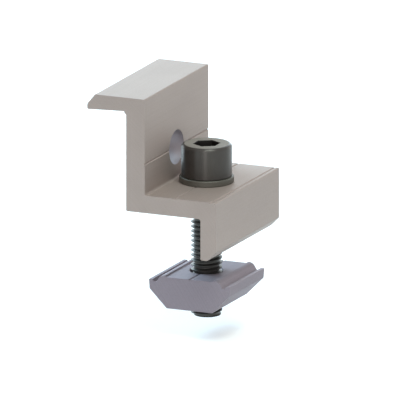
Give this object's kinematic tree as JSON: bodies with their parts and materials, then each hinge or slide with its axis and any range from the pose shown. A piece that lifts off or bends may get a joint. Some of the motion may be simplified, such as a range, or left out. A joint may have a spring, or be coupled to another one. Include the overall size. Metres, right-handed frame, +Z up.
{
  "type": "solar end clamp",
  "caption": "Z-shaped extruded clamp that hooks over the edge of a framed module, drawn down onto a slotted rail by a cap screw and a grooved rail nut.",
  "frame": {"origin": "on the screw's axis, in the plane of the bracket's foot, where the top of the rail lies", "axes": "+Z up out of the rail along the screw, +Y along the extrusion and the edge of the module, -X towards the module"},
  "size_m": [0.0359, 0.04, 0.0602],
  "materials": {
    "bracket": "natural anodised, satin",
    "screw": "turned stainless steel",
    "washer": "stainless steel, satin",
    "nut": "mill-finish extrusion, satin"
  },
  "bodies": {
    "bracket": {"clamp_bracket": "bracket", "spring_washer": "washer"},
    "screw": {"cap_screw": "screw"},
    "nut": {"rail_nut": "nut"}
  },
  "joints": [
    {"name": "screw_turn", "type": "hinge", "parent": "bracket", "child": "screw", "pos_m": [0, 0, 0], "axis": [0, 0, -1], "range_deg": [-2160, 2160]},
    {"name": "nut_travel", "type": "slide", "parent": "bracket", "child": "nut", "axis": [0, 0, 1], "range_m": [-0.0075, 0.0075]}
  ],
  "couplings": [
    {"joint": "nut_travel", "follows": "screw_turn", "m_per_rad": 0.00019894}
  ]
}
